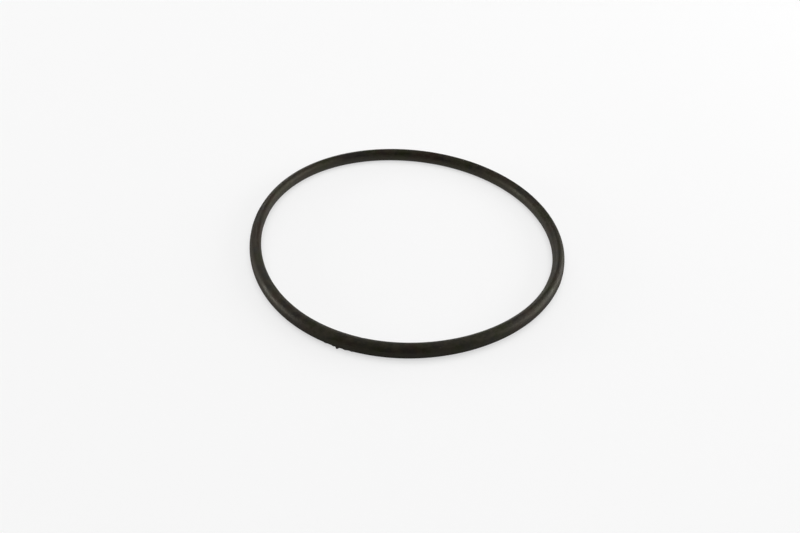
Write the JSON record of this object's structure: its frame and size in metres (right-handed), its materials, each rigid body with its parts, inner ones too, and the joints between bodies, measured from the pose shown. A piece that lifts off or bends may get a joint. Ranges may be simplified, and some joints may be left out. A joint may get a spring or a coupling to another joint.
{
  "type": "injector sealing ring",
  "caption": "Endless rubber sealing ring with an oval section, that fits round an injector body and seals it in its bore.",
  "frame": {"origin": "middle of the bore, at half the ring's height", "axes": "+Z along the ring's axis; the ring is the same all round, so +X and +Y may be any radial pair"},
  "size_m": [0.0441, 0.044, 0.002],
  "materials": {
    "ring_rubber": "satin black moulded rubber"
  },
  "bodies": {
    "root": {"sealing_ring": "ring_rubber"}
  },
  "joints": []
}
